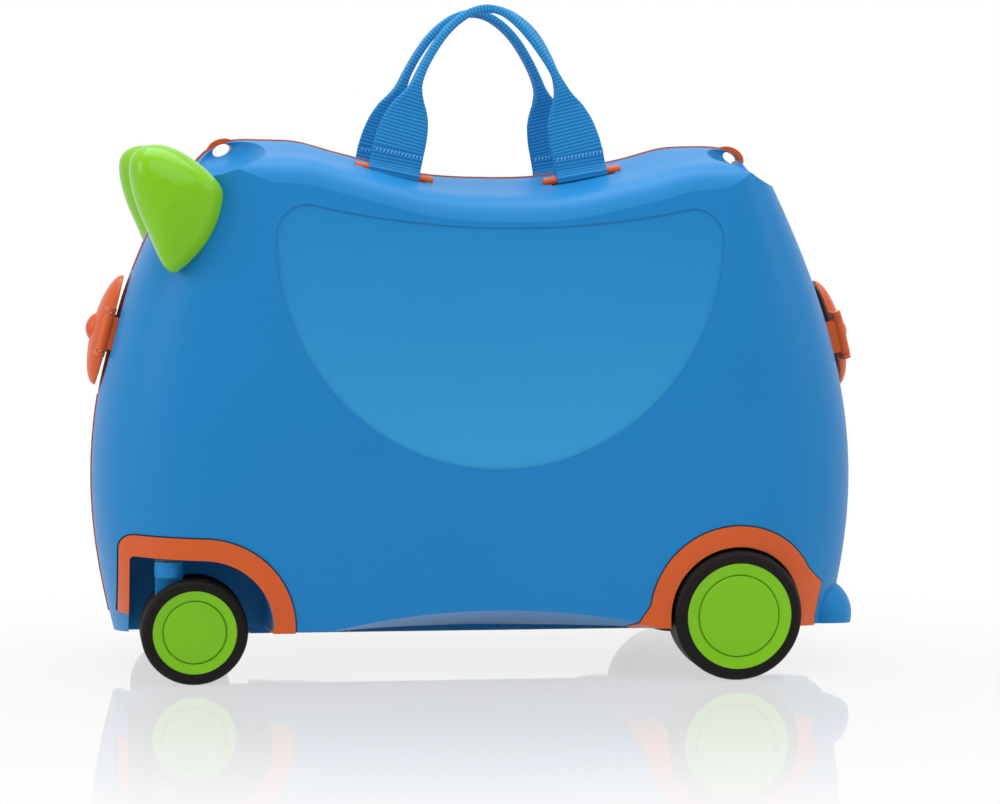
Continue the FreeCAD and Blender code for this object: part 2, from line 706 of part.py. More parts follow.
def latch_pin():
    length = d.barrel_length + 2 * (d.ear_gap + d.ear_thickness)
    start = Vector(d.latch_pivot_out, -d.latch_pivot_across, -length / 2)
    return Part.makeCylinder(d.latch_pin_radius, length, start, UP)


def latch_strike():
    """The plate on the far half that the closed cover bears over."""
    return Part.makeBox(d.strike_thickness, d.strike_width, d.strike_length,
                        Vector(-d.strike_sink, d.strike_across - d.strike_width / 2, -d.strike_length / 2))


# The tow loops
def tow_ring(end, margin):
    """A tow loop as an oval block and the eye through it."""
    width = d.tow_loop_width + 2 * margin
    grown = d.tow_loop_wall + margin
    back = ACROSS * (-width / 2)
    block = eye_oval(end, d.tow_eye_half_length + grown, d.tow_eye_half_height + grown, back)
    eye = eye_oval(end, d.tow_eye_half_length, d.tow_eye_half_height, back)
    return Part.Face(block).extrude(ACROSS * width), Part.Face(eye).extrude(ACROSS * width)


def eye_passage(end):
    """The way through the shells to a tow loop's eye."""
    outline = eye_oval(end, d.tow_eye_half_length, d.tow_eye_half_height, ACROSS * -d.dish_outward)
    return Part.Face(outline).extrude(ACROSS * d.dish_outward)


# The handle bars, in grooves of the roof
def roof_height(x, y):
    probe = Part.makeLine(Vector(x, -y, d.base_height + case_height / 2),
                          Vector(x, -y, d.case_top + d.overrun))
    return probe.common(outer_volume).BoundBox.ZMax


def bar_axis(end):
    """The middle of a bar and its direction, which follows the saddle."""
    height = roof_height(d.handle_half_span, d.handle_y) + d.bar_rise
    middle = Vector(end * d.handle_half_span, -d.handle_y, height)
    turn = math.radians(d.bar_tilt)
    return middle, Vector(end * math.cos(turn), 0, math.sin(turn))


def bar_rod(end, radius, length):
    middle, along = bar_axis(end)
    return Part.makeCylinder(radius, length, middle - along * (length / 2), along)


def webbing_tab(end):
    """The stitched end of the webbing: a loop round the bar with a flat tab on top."""
    middle, along = bar_axis(end)
    radius = d.bar_radius + d.webbing_loop_wall
    tilt = FreeCAD.Rotation(ACROSS, -end * d.bar_tilt)
    tab = Part.makeBox(d.webbing_width, d.webbing_thickness, d.webbing_width,
                       Vector(-d.webbing_width / 2, -d.webbing_thickness / 2, 0))
    tab.Placement = FreeCAD.Placement(middle, tilt)
    ceiling = d.flex_height - d.webbing_thickness / 2 - d.flex_gap
    above = Part.makeBox(2 * far_out, 2 * far_out, far_out, Vector(-far_out, -far_out, ceiling))
    bar = bar_rod(end, d.bar_radius, d.bar_length)
    return bar_rod(end, radius, d.webbing_width).fuse(tab).cut([above, bar])


def handle_grip():
    """The free arch of a webbing handle: flat ends on the flex line, a twist, and a rounded grip on top."""
    middle, along = bar_axis(1)
    foot_x = middle.x - (d.flex_height - middle.z) * math.tan(math.radians(d.bar_tilt))
    rise = d.handle_top - d.flex_height
    right = [(foot_x * span, rise * up, width, thick) for span, up, width, thick in GRIP_SHARES]
    stations = [(-x, z, width, thick) for x, z, width, thick in right[:-1]] + right[::-1]
    wires = []
    for n, (x, z, width, thick) in enumerate(stations):
        before = stations[max(n - 1, 0)]
        after = stations[min(n + 1, len(stations) - 1)]
        heading = Vector(after[0] - before[0], 0, after[1] - before[1])
        if n == 0:
            heading = UP
        if n == len(stations) - 1:
            heading = -UP
        side = ACROSS.cross(heading.normalize())
        half = (d.grip_thickness + (d.webbing_width - d.grip_thickness) * width) / 2
        deep = (d.webbing_thickness + (d.grip_width - d.webbing_thickness) * thick) / 2
        at = Vector(x, 0, z)
        ring = [at + side * half - ACROSS * deep, at + side * half + ACROSS * deep,
                at - side * half + ACROSS * deep, at - side * half - ACROSS * deep]
        wires.append(Part.makePolygon(ring + [ring[0]]))
    arch = Part.makeLoft(wires, True, False)
    arch.rotate(Vector(0, 0, 0), ALONG, -d.handle_lean)
    ends = []
    for end in (-1, 1):
        start = Vector(end * foot_x - d.webbing_width / 2, 0, 0)
        ends.append(Part.makeCylinder(d.webbing_thickness / 2, d.webbing_width, start, ALONG))
    arch = arch.fuse(ends)
    arch.translate(Vector(0, -d.handle_y, d.flex_height))
    return arch


# The horns
def horn():
    """A pointed horn on the front corner, seated on the shell's own surface."""
    wires = []
    for reach, length, height, forward, up in HORN_SECTION_SHARES:
        centre = Vector(d.horn_x - d.horn_half_length * forward,
                        -d.horn_seat - (d.horn_reach - d.horn_seat) * reach,
                        d.horn_z + d.horn_half_height * up)
        ring = [centre + Vector(d.horn_half_length * length * x, 0, d.horn_half_height * height * z)
                for x, z in HORN_OUTLINE_SHARES]
        curve = Part.BSplineCurve()
        curve.interpolate(Points=ring, PeriodicFlag=True)
        wires.append(Part.Wire(curve.toShape()))
    return largest(Part.makeLoft(wires, True, False).cut(outer_volume))


def horn_screw_axis():
    """Where the horn's screw passes the inside of the wall, and its way out."""
    middle = Vector(d.horn_x, -d.horn_seat - (d.horn_reach - d.horn_seat) / 2, d.horn_z)
    outwards = Vector(-1, -1, 0).normalize()
    inside = Part.makeLine(middle - outwards * d.case_half_width, middle).common(inner_volume)
    start = max(inside.Vertexes, key=lambda vertex: vertex.Point.dot(outwards)).Point
    return start, outwards, (middle - start).dot(outwards)


# The shells
outer_volume = case_volume(0)
inner_volume = case_volume(d.wall)
blank = half_shell()
front_trim, rear_trim = arch_trims()
near_horn_solid = horn()
screw_start, screw_way, screw_length = horn_screw_axis()
screw_shank = Part.makeCylinder(d.horn_screw_radius, screw_length, screw_start, screw_way)
grooves = [bar_rod(end, d.bar_groove, d.bar_groove_length) for end in (-1, 1)]
groove_walls = []
for end in (-1, 1):
    wall_rod = bar_rod(end, d.bar_groove + d.well_wall, d.bar_groove_length + 2 * d.well_wall)
    groove_walls.append(wall_rod.common(outer_volume))
bars = [bar_rod(end, d.bar_radius, d.bar_length) for end in (-1, 1)]
blank = blank.fuse(groove_walls).cut(grooves)
blank = blank.cut(bars + [front_trim, rear_trim, screw_shank] + arch_gaps())

rings = {end: tow_ring(end, 0) for end in (-1, 1)}
wide_rings = {end: tow_ring(end, d.seat_gap) for end in (-1, 1)}
knuckle_trim = d.knuckle_gap / 2
clear_radius = d.knuckle_radius + d.hinge_clear
hinge_bore = Part.makeCylinder(d.hinge_pin_radius, 2 * far_out, Vector(-far_out, 0, d.base_height), ALONG)
loose_bore = Part.makeCylinder(d.hinge_pin_radius + d.running_fit, 2 * far_out,
                               Vector(-far_out, 0, d.base_height), ALONG)

blank = blank.cut([eye_passage(end) for end in rings])
near = blank.cut(knuckles(1, clear_radius, knuckle_trim) + [rings[end][0] for end in rings])
near = near.cut([at_latch(end, latch_bracket()) for end in (-1, 1)])
near = near.fuse(knuckles(0, d.knuckle_radius, -knuckle_trim)).cut(hinge_bore)
far = mirrored(blank).cut(knuckles(0, clear_radius, knuckle_trim) + [wide_rings[end][0] for end in rings])
far = far.cut([at_latch(end, latch_strike()) for end in (-1, 1)])
far = far.fuse(knuckles(1, d.knuckle_radius, -knuckle_trim)).cut(loose_bore)
near_shell = shaped("near_shell", largest(near))
far_shell = shaped("far_shell", largest(far))

# The seal, on the near half
seal_skin = case_volume(-d.seal_proud, dishes=False).cut(case_volume(d.seal_depth, dishes=False))
near_lip = seal_skin.common(Part.makeBox(2 * far_out, d.seal_thickness / 2, 2 * d.case_top,
                                         Vector(-far_out, -d.seal_thickness / 2, d.seal_foot)))
far_slab = Part.makeBox(2 * far_out, d.seal_thickness / 2 - d.seat_gap, 2 * d.case_top,
                        Vector(-far_out, d.seat_gap - d.seal_thickness / 2, d.seal_foot))
far_lip = mirrored(seal_skin.common(far_slab))
latch_room = Part.makeBox(2 * far_out, 2 * d.seal_thickness, 2 * d.latch_half_height + 2 * d.wall,
                          Vector(-far_out, -d.seal_thickness, d.latch_height - d.latch_half_height - d.wall))
seal = near_lip.fuse(far_lip).removeSplitter()
under_latch = latch_room.cut([outer_volume, mirrored(outer_volume)])
seal = seal.cut([under_latch] + [rings[end][0] for end in rings])
shaped("seam_seal", Part.makeCompound(seal.Solids))

# The pieces fixed to the halves
for end, word in ((-1, "front"), (1, "rear")):
    ring, eye = rings[end]
    shaped(word + "_tow_loop", ring.cut(eye))
    shaped(word + "_latch", at_latch(end, latch_cover()))
    shaped(word + "_latch_bracket", at_latch(end, latch_bracket()))
    shaped(word + "_latch_pin", at_latch(end, latch_pin()))
strikes = [at_latch(end, latch_strike()) for end in (-1, 1)]
shaped("latch_strikes", Part.makeCompound(strikes))
hinge_total = knuckle_count * d.knuckle_length - d.knuckle_gap
shaped("hinge_pin", Part.makeCylinder(d.hinge_pin_radius, hinge_total,
                                      Vector(-hinge_total / 2, 0, d.base_height), ALONG))
screw_head = Part.makeCylinder(d.horn_screw_head, d.horn_screw_head + d.wall,
                               screw_start - screw_way * d.horn_screw_head, screw_way)
screw_head = largest(screw_head.common(inner_volume))
horn_screw = screw_head.fuse(screw_shank).removeSplitter()
tabs = [webbing_tab(end) for end in (-1, 1)]
fixed = (
    ("front_arch", front_trim),
    ("rear_arch", rear_trim),
    ("horn", near_horn_solid.cut(screw_shank)),
    ("horn_screw", horn_screw),
    ("handle_bars", Part.makeCompound(bars)),
    ("handle_tabs", Part.makeCompound(tabs)),
    ("handle_grip", handle_grip()),
)
for name, shape in fixed:
    shaped("near_" + name, shape)
    shaped("far_" + name, mirrored(shape))

# The casters: fork, bush, clip and axle, then two wheels on each
boss_top = "front_well_top + stem_boss_height"
for word, sign in (("near", "-"), ("far", "")):
    stem = ("caster_x", sign + "caster_y", "0")
    hub = ("caster_x + caster_trail", sign + "caster_y", "front_tyre_radius")
    bush_height = boss_top + " - front_well_top + bush_lip"
    sleeve = primitive("Part::Cylinder", word + "_bush_sleeve",
                       {"Radius": "stem_radius + running_fit + bush_wall", "Height": bush_height},
                       (stem[0], stem[1], "front_well_top - bush_lip"))
    lip = primitive("Part::Cylinder", word + "_bush_flange",
                    {"Radius": "stem_boss_radius", "Height": "bush_lip"},
                    (stem[0], stem[1], "front_well_top - bush_lip"))
    bore = primitive("Part::Cylinder", word + "_bush_bore",
                     {"Radius": "stem_radius + running_fit", "Height": bush_height},
                     (stem[0], stem[1], "front_well_top - bush_lip"))
    keep(word + "_caster_bush", cut(word + "_bush", fused(word + "_bush_body", [sleeve, lip]), bore))
    boss = primitive("Part::Cylinder", word + "_fork_boss",
                     {"Radius": "fork_boss_radius", "Height": "fork_thickness"},
                     (hub[0], hub[1] + " - fork_thickness / 2", hub[2]), ALONG_Y)
    strut = primitive("Part::Box", word + "_fork_strut",
                      {"Length": "fork_length", "Width": "fork_thickness",
                       "Height": "fork_head_height - front_tyre_radius + fork_flange_thickness"},
                      ("caster_x - fork_length / 2", hub[1] + " - fork_thickness / 2", hub[2]))
    head = primitive("Part::Cylinder", word + "_fork_head",
                     {"Radius": "fork_head_radius",
                      "Height": "front_well_top - bush_lip - fork_head_height - fork_flange_thickness"},
                     (stem[0], stem[1], "fork_head_height"))
    flange = primitive("Part::Cylinder", word + "_fork_flange",
                       {"Radius": "fork_flange_radius",
                        "Height": "front_well_top - bush_lip - fork_head_height - wheel_gap"},
                       (stem[0], stem[1], "fork_head_height"))
    post = primitive("Part::Cylinder", word + "_fork_stem",
                     {"Radius": "stem_radius",
                      "Height": boss_top + " + 3 * clip_thickness - fork_head_height"},
                     (stem[0], stem[1], "fork_head_height"))
    clip_at = (stem[0], stem[1], boss_top + " + cap_gap")
    clip_disc = primitive("Part::Cylinder", word + "_clip_disc",
                          {"Radius": "stem_radius + clip_wall", "Height": "clip_thickness"}, clip_at)
    clip_core = primitive("Part::Cylinder", word + "_clip_core",
                          {"Radius": "stem_radius - clip_groove", "Height": "clip_thickness"}, clip_at)
    clip = keep(word + "_caster_clip", cut(word + "_clip", clip_disc, clip_core))
    axle_hole = primitive("Part::Cylinder", word + "_fork_axle_hole",
                          {"Radius": "caster_axle_radius", "Height": "fork_thickness"},
                          (hub[0], hub[1] + " - fork_thickness / 2", hub[2]), ALONG_Y)
    solid = fused(word + "_fork_solid", [boss, strut, head, flange, post])
    drilled = cut(word + "_fork_drilled", solid, axle_hole)
    keep(word + "_caster_fork", cut(word + "_fork", drilled, clip))
    reach = "(fork_thickness / 2 + wheel_gap + front_wheel_width - cap_thickness - cap_gap)"
    inner = "(fork_thickness / 2 + wheel_gap + front_wheel_width - cap_thickness - cap_gap - head_thickness)"
    axle_section = [("0", "-" + reach), ("head_radius", "-" + reach), ("head_radius", "-" + inner),
                    ("caster_axle_radius", "-" + inner), ("caster_axle_radius", inner),
                    ("head_radius", inner), ("head_radius", reach), ("0", reach)]
    revolved(word + "_caster_axle", axle_section, hub)


def wheel(label, width, tyre_radius, hub_radius, cap_radius, axle_radius, at, far_side):
    """A wheel as three pieces: tyre, hub with its counterbore, and cap."""
    edge = width + " / 2"
    tyre_section = [(hub_radius, "-" + edge), (tyre_radius, "-" + edge), (tyre_radius, edge),
                    (hub_radius, edge)]
    tyre = revolved(label + "_tyre", tyre_section, at, far_side)
    round_rims(tyre, getattr(d, tyre_radius), "tyre_round")
    seat = "-" + edge + " + cap_thickness"
    floor = seat + " + head_thickness + 2 * cap_gap"
    bore = axle_radius + " + running_fit"
    ring = "-" + edge + " + hub_dish"
    hub_section = [(bore, floor), ("head_radius + wheel_gap", floor), ("head_radius + wheel_gap", seat),
                   (cap_radius, seat), (cap_radius, ring), (hub_radius, "-" + edge),
                   (hub_radius, edge), (bore, edge)]
    revolved(label + "_hub", hub_section, at, far_side)
    front = ring + " - cap_proud"
    cap_edge = cap_radius + " - cap_ring_gap"
    cap_section = [("0", front), (cap_edge, front), (cap_edge, seat), ("0", seat)]
    cap = revolved(label + "_cap", cap_section, at, far_side)
    round_rims(cap, getattr(d, cap_radius) - d.cap_ring_gap, "cap_proud")


pair = "fork_thickness / 2 + wheel_gap + front_wheel_width / 2"
for word, sign, far_side in (("near", "-", False), ("far", "", True)):
    outward = sign + "caster_y" + (" - (" if word == "near" else " + (") + pair + ")"
    inward = sign + "caster_y" + (" + (" if word == "near" else " - (") + pair + ")"
    for place, across, turned in (("outer", outward, far_side), ("inner", inward, not far_side)):
        wheel(word + "_caster_" + place, "front_wheel_width", "front_tyre_radius", "front_hub_radius",
              "front_cap_radius", "caster_axle_radius",
              ("caster_x + caster_trail", across, "front_tyre_radius"), turned)
    middle = sign + "(rear_wheel_outer - rear_wheel_width / 2)"
    at = ("rear_wheel_x", middle, "rear_tyre_radius")
    wheel(word + "_rear", "rear_wheel_width", "rear_tyre_radius", "rear_hub_radius", "rear_cap_radius",
          "rear_axle_radius", at, far_side)
    tip = "-rear_wheel_width / 2 + cap_thickness + cap_gap"
    collar = "rear_wheel_width / 2 + wheel_gap"
    wall_face = "rear_well_depth - rear_wheel_width / 2"
    tail = wall_face + " + well_wall + rear_boss_length - head_thickness"
    head_end = tip + " + head_thickness"
    axle_section = [("0", tip), ("head_radius", tip), ("head_radius", head_end),
                    ("rear_axle_radius", head_end), ("rear_axle_radius", collar),
                    ("head_radius", collar), ("head_radius", wall_face),
                    ("rear_axle_radius", wall_face), ("rear_axle_radius", tail), ("0", tail)]
    revolved(word + "_rear_axle", axle_section, at, far_side)

doc.recompute()

# Every piece is sound before it is written
for item in doc.Objects:
    if "Invalid" in item.State or "Error" in item.State:
        raise RuntimeError("%s did not build" % item.Label)
os.makedirs("parts", exist_ok=True)
for label, item in NODES.items():
    if item.Shape.isNull() or not item.Shape.isValid():
        raise RuntimeError("%s has no sound shape" % label)
    item.Shape.exportStep("parts/%s.step" % label)
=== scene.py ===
"""Looks of the ride-on suitcase: materials, webbing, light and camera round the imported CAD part."""

import json
import math

import bmesh
import bpy
from mathutils import Matrix, Vector

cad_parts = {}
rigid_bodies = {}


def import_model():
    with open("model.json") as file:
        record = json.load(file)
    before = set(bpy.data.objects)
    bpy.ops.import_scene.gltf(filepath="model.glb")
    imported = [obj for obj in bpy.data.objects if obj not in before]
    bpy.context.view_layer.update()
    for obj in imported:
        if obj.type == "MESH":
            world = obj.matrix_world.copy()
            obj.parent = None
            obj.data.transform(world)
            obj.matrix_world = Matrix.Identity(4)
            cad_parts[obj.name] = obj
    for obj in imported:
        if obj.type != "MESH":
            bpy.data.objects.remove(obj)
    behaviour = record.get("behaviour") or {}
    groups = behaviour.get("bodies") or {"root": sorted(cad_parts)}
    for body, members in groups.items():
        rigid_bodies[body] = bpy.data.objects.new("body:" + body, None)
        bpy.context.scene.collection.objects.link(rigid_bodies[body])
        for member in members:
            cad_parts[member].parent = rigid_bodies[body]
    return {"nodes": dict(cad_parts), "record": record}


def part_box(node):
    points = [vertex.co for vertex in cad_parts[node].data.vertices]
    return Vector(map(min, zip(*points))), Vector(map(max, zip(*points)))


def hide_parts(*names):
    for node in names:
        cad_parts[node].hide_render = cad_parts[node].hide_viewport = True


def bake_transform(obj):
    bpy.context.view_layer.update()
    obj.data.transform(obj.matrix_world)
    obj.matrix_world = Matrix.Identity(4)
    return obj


for old in list(bpy.data.objects):
    bpy.data.objects.remove(old)

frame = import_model()
NODES = frame["nodes"]
MOUNTS = {mount["name"]: mount for mount in frame["record"]["mounts"]}
JOINTS = {joint["name"]: joint for joint in frame["record"]["behaviour"]["joints"]}
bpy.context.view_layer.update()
MM = 0.001

# Finish of the solids
EDGE_RADIUS = 0.8 * MM
EDGE_SAMPLES = 6
GRAIN_DEPTH = 0.2 * MM
SOLID_CREASE = math.radians(32)
NOISE_LOW = 0.3
NOISE_HIGH = 0.7

# Sunk side panels: the depth of their floor, and the heights between which a painted highlight on that floor
# grows from nothing to full toward the foot
PANEL_DEPTH = abs(MOUNTS["near_panel"]["pos_m"][1])
PANEL_DEPTH_SLACK = 0.05 * MM
PANEL_NORMAL_SLACK = 0.0005
PANEL_HIGHLIGHT_TOP = 285 * MM
PANEL_HIGHLIGHT_FOOT = 130 * MM

# Strap of a handle
STRAP_WIDTH = 30 * MM
STRAP_HALF = STRAP_WIDTH / 2
STRAP_CREASE = math.radians(50)
STRAP_CORNERS = 36
STRAP_STEPS = 12
SQUARENESS = 0.45
TAB_REACH = 52.7 * MM
BAR_REACH = 55 * MM
HANDLE_LEAN = math.radians(5)
TAB_TILT = math.radians(11)
NEAR_TWIST = 26

# Weave of a strap: the pitch of its ribs in mm, and the shares of ribs and threads in its relief and colour;
# the ribs' grooves carry painted shade
RIB_PITCH = 2.0
WAVE_RADIANS = 20
WEAVE_DEPTH = 0.6 * MM
RIB_SHARE = 0.65
THREAD_SHARE = 0.5

# Rows up a strap, from a bar to the top of the bow: the share of the tabs' reach, then in mm the rise above
# the flex line, the half width along the case and the half width across it. A flat tab is gathered into a
# neck, and from there the strap runs folded in two with its edge to the side.
TAB_ROWS = (
    (1.01, -3, 14.6, 1.2),
    (0.99, 2, 15.0, 1.5),
    (0.95, 10, 14.6, 1.6),
    (0.905, 19, 13.0, 2.0),
    (0.87, 26.5, 10.0, 3.0),
    (0.835, 33, 6.0, 5.0),
    (0.80, 39, 3.4, 6.6),
)
BOW_ROWS = (
    (0.74, 47, 2.5, 7.2),
    (0.64, 57, 2.3, 7.4),
    (0.50, 68, 2.3, 7.5),
    (0.34, 76.5, 2.3, 7.5),
    (0.17, 82, 2.3, 7.5),
)
BOW_TOP = (0.0, 83.7, 2.3, 7.5)
BOW_TWIST_SHARES = (0.4, 0.8, 1.0, 0.8, 0.4)

# Loop round a bar: one layer of strap, its radius, and the two legs above it
LAYER = 1.5 * MM
LOOP_RADIUS = 3.4 * MM
LOOP_START = math.radians(118)
LOOP_SWEEP = math.radians(304)
LOOP_STEPS = 20
LOOP_CORNERS = 24
LEG_OFFSET = 0.8 * MM
LEG_FOOT = 5 * MM
LEG_OVERLAP = 1.5 * MM
LEG_STEPS = 5

# Zigzag of thread on a tab
STITCH_COUNT = 13
STITCH_HEIGHT = 2.2 * MM
STITCH_DROP = 2.2 * MM
STITCH_OFFSET = 1.65 * MM
STITCH_SLANT_SHARE = 0.45
STITCH_CORNERS = 8
THREAD_RADIUS = 0.42 * MM
THREAD_TIP = 0.15 * MM
THREAD_LENGTH_SHARES = (0, 0.2, 0.8, 1)

# Stage, in metres: the floor, how much of it mirrors, and the oval in which it fades to the backdrop
FLOOR_SIZE = 40.0
FLOOR_TONES = ((0.80, 0.80, 0.80), (0.84, 0.84, 0.84))
MIRROR_SHARE = 0.75
FADE_OFFSET = (0, 0.1, 0)
FADE_SQUEEZE = (0.62, 1.0, 1.0)
FADE_START = 0.08
FADE_END = 0.40
FADE_LEAST_SHARE = 0.6
SKY_TINT = (0.93, 0.96, 1.0)
SKY_STRENGTH = 0.26

# Camera: where it stands in metres, how it turns, and its lens in mm
CAMERA_PLACE = (-0.262, -1.625, 0.295)
YAW = math.radians(9.68)
PITCH = math.radians(-4.95)
ROLL = math.radians(0.85)
LENS = 100.0
SENSOR_WIDTH = 36.0


# Nodes
def feed(tree, socket, value):
    """Links a socket to another node's output, or sets a plain number or colour on it."""
    if isinstance(value, bpy.types.NodeSocket):
        tree.links.new(value, socket)
    elif socket.type == "RGBA":
        socket.default_value = (*value, 1)
    else:
        socket.default_value = value


def new_material(name):
    material = bpy.data.materials.new(name)
    material.use_nodes = True
    tree = material.node_tree
    return material, tree, tree.nodes["Principled BSDF"]


def coordinates(tree, kind):
    return tree.nodes.new("ShaderNodeTexCoord").outputs[kind]


def axis_of(tree, vector, axis):
    node = tree.nodes.new("ShaderNodeSeparateXYZ")
    feed(tree, node.inputs["Vector"], vector)
    return node.outputs[axis]


def math_node(tree, operation, *values):
    node = tree.nodes.new("ShaderNodeMath")
    node.operation = operation
    for socket, value in zip(node.inputs, values):
        feed(tree, socket, value)
    return node.outputs["Value"]


def noise(tree, source, scale, detail):
    node = tree.nodes.new("ShaderNodeTexNoise")
    feed(tree, node.inputs["Vector"], source)
    feed(tree, node.inputs["Scale"], scale)
    feed(tree, node.inputs["Detail"], detail)
    return node.outputs["Fac"]


def mixed(tree, factor, first, second):
    node = tree.nodes.new("ShaderNodeMix")
    node.data_type = "RGBA"
    feed(tree, node.inputs["Factor"], factor)
    feed(tree, node.inputs["A"], first)
    feed(tree, node.inputs["B"], second)
    return node.outputs["Result"]


def mixed_shaders(tree, factor, first, second):
    node = tree.nodes.new("ShaderNodeMixShader")
    feed(tree, node.inputs["Fac"], factor)
    tree.links.new(first, node.inputs[1])
    tree.links.new(second, node.inputs[2])
    return node.outputs["Shader"]


def ranged(tree, value, from_low, from_high, low=0.0, high=1.0):
    node = tree.nodes.new("ShaderNodeMapRange")
    feed(tree, node.inputs["Value"], value)
    feed(tree, node.inputs["From Min"], from_low)
    feed(tree, node.inputs["From Max"], from_high)
    feed(tree, node.inputs["To Min"], low)
    feed(tree, node.inputs["To Max"], high)
    return node.outputs["Result"]


def bumped(tree, height, strength, distance, edge=0.0):
    """A bump, over edges that look rounded to the given radius."""
    node = tree.nodes.new("ShaderNodeBump")
    feed(tree, node.inputs["Height"], height)
    feed(tree, node.inputs["Strength"], strength)
    feed(tree, node.inputs["Distance"], distance)
    if edge:
        rounded = tree.nodes.new("ShaderNodeBevel")
        rounded.samples = EDGE_SAMPLES
        feed(tree, rounded.inputs["Radius"], edge)
        feed(tree, node.inputs["Normal"], rounded.outputs["Normal"])
    return node.outputs["Normal"]


# Materials
def painted_panel_highlight(tree):
    """Mask of the painted highlight on the sunk side panels: zero off them, and on their flat floor from
    nothing at the top to one at the foot.
    """
    place = coordinates(tree, "Object")
    depth = math_node(tree, "ABSOLUTE", axis_of(tree, place, "Y"))
    facing = math_node(tree, "ABSOLUTE", axis_of(tree, coordinates(tree, "Normal"), "Y"))
    on_floor = math_node(tree, "COMPARE", depth, PANEL_DEPTH, PANEL_DEPTH_SLACK)
    flat = math_node(tree, "COMPARE", facing, 1.0, PANEL_NORMAL_SLACK)
    down = ranged(tree, axis_of(tree, place, "Z"), PANEL_HIGHLIGHT_TOP, PANEL_HIGHLIGHT_FOOT)
    return math_node(tree, "MULTIPLY", math_node(tree, "MULTIPLY", on_floor, flat), down)


def plastic(name, tones, rough, grain_scale, grain, shine, panel_highlight_tones=None):
    """Moulded plastic: slow drift in colour and polish over a fine grain. Sunk side panels may get a painted
    highlight, paler toward their foot.
    """
    material, tree, shader = new_material(name)
    place = coordinates(tree, "Object")
    drift = noise(tree, place, scale=7.0, detail=2.0)
    fine = noise(tree, place, grain_scale, detail=3.0)
    colour = mixed(tree, drift, *tones)
    if panel_highlight_tones:
        # Painted highlight: a sunk panel's floor turns paler toward its foot, standing in for a softbox's
        # light
        colour = mixed(tree, painted_panel_highlight(tree), colour, mixed(tree, drift, *panel_highlight_tones))
    feed(tree, shader.inputs["Base Color"], colour)
    feed(tree, shader.inputs["Roughness"], ranged(tree, drift, NOISE_LOW, NOISE_HIGH, *rough))
    feed(tree, shader.inputs["Normal"], bumped(tree, fine, grain, GRAIN_DEPTH, EDGE_RADIUS))
    feed(tree, shader.inputs["Specular IOR Level"], shine)
    return material


def rubber(name, tones):
    """Dull rubber, and thread, which is as dull."""
    material, tree, shader = new_material(name)
    place = coordinates(tree, "Object")
    drift = noise(tree, place, scale=60.0, detail=3.0)
    fine = noise(tree, place, scale=2200.0, detail=2.0)
    feed(tree, shader.inputs["Base Color"], mixed(tree, drift, *tones))
    feed(tree, shader.inputs["Roughness"], ranged(tree, drift, NOISE_LOW, NOISE_HIGH, low=0.42, high=0.6))
    feed(tree, shader.inputs["Normal"], bumped(tree, fine, strength=0.25, distance=GRAIN_DEPTH))
    feed(tree, shader.inputs["Specular IOR Level"], 0.1)
    return material


def steel(name, tones):
    material, tree, shader = new_material(name)
    drift = noise(tree, coordinates(tree, "Object"), scale=900.0, detail=4.0)
    feed(tree, shader.inputs["Base Color"], mixed(tree, drift, *tones))
    feed(tree, shader.inputs["Roughness"], ranged(tree, drift, NOISE_LOW, NOISE_HIGH, low=0.22, high=0.38))
    feed(tree, shader.inputs["Metallic"], 1.0)
    return material


def webbing(name, tones):
    """Woven webbing: ribs across the strap, by its own length coordinate in mm, under a thread grain. The
    same pattern darkens the rib grooves as painted shade, over the threads' own tone variation.
    """
    material, tree, shader = new_material(name)
    along = coordinates(tree, "UV")
    ribs = tree.nodes.new("ShaderNodeTexWave")
    ribs.wave_type = "BANDS"
    ribs.bands_direction = "Y"
    ribs.wave_profile = "SIN"
    feed(tree, ribs.inputs["Vector"], along)
    feed(tree, ribs.inputs["Scale"], 2 * math.pi / (WAVE_RADIANS * RIB_PITCH))
    feed(tree, ribs.inputs["Distortion"], 0.35)
    feed(tree, ribs.inputs["Detail"], 2.0)
    feed(tree, ribs.inputs["Detail Scale"], 2.0)
    threads = noise(tree, along, scale=4.0, detail=3.0)
    grain = math_node(tree, "MULTIPLY", threads, THREAD_SHARE)
    weave_relief_and_shade = math_node(tree, "MULTIPLY_ADD", ribs.outputs["Fac"], RIB_SHARE, grain)
    # Painted shade: the rib grooves take the deep tone, the rib crowns the strap's light dye tone; the thread
    # grain adds its own tone variation
    feed(tree, shader.inputs["Base Color"], mixed(tree, weave_relief_and_shade, *tones))
    feed(tree, shader.inputs["Roughness"], ranged(tree, threads, NOISE_LOW, NOISE_HIGH, low=0.62, high=0.82))
    feed(tree, shader.inputs["Normal"], bumped(tree, weave_relief_and_shade, strength=0.55, distance=WEAVE_DEPTH))
    feed(tree, shader.inputs["Sheen Weight"], 0.06)
    feed(tree, shader.inputs["Specular IOR Level"], 0.2)
    return material


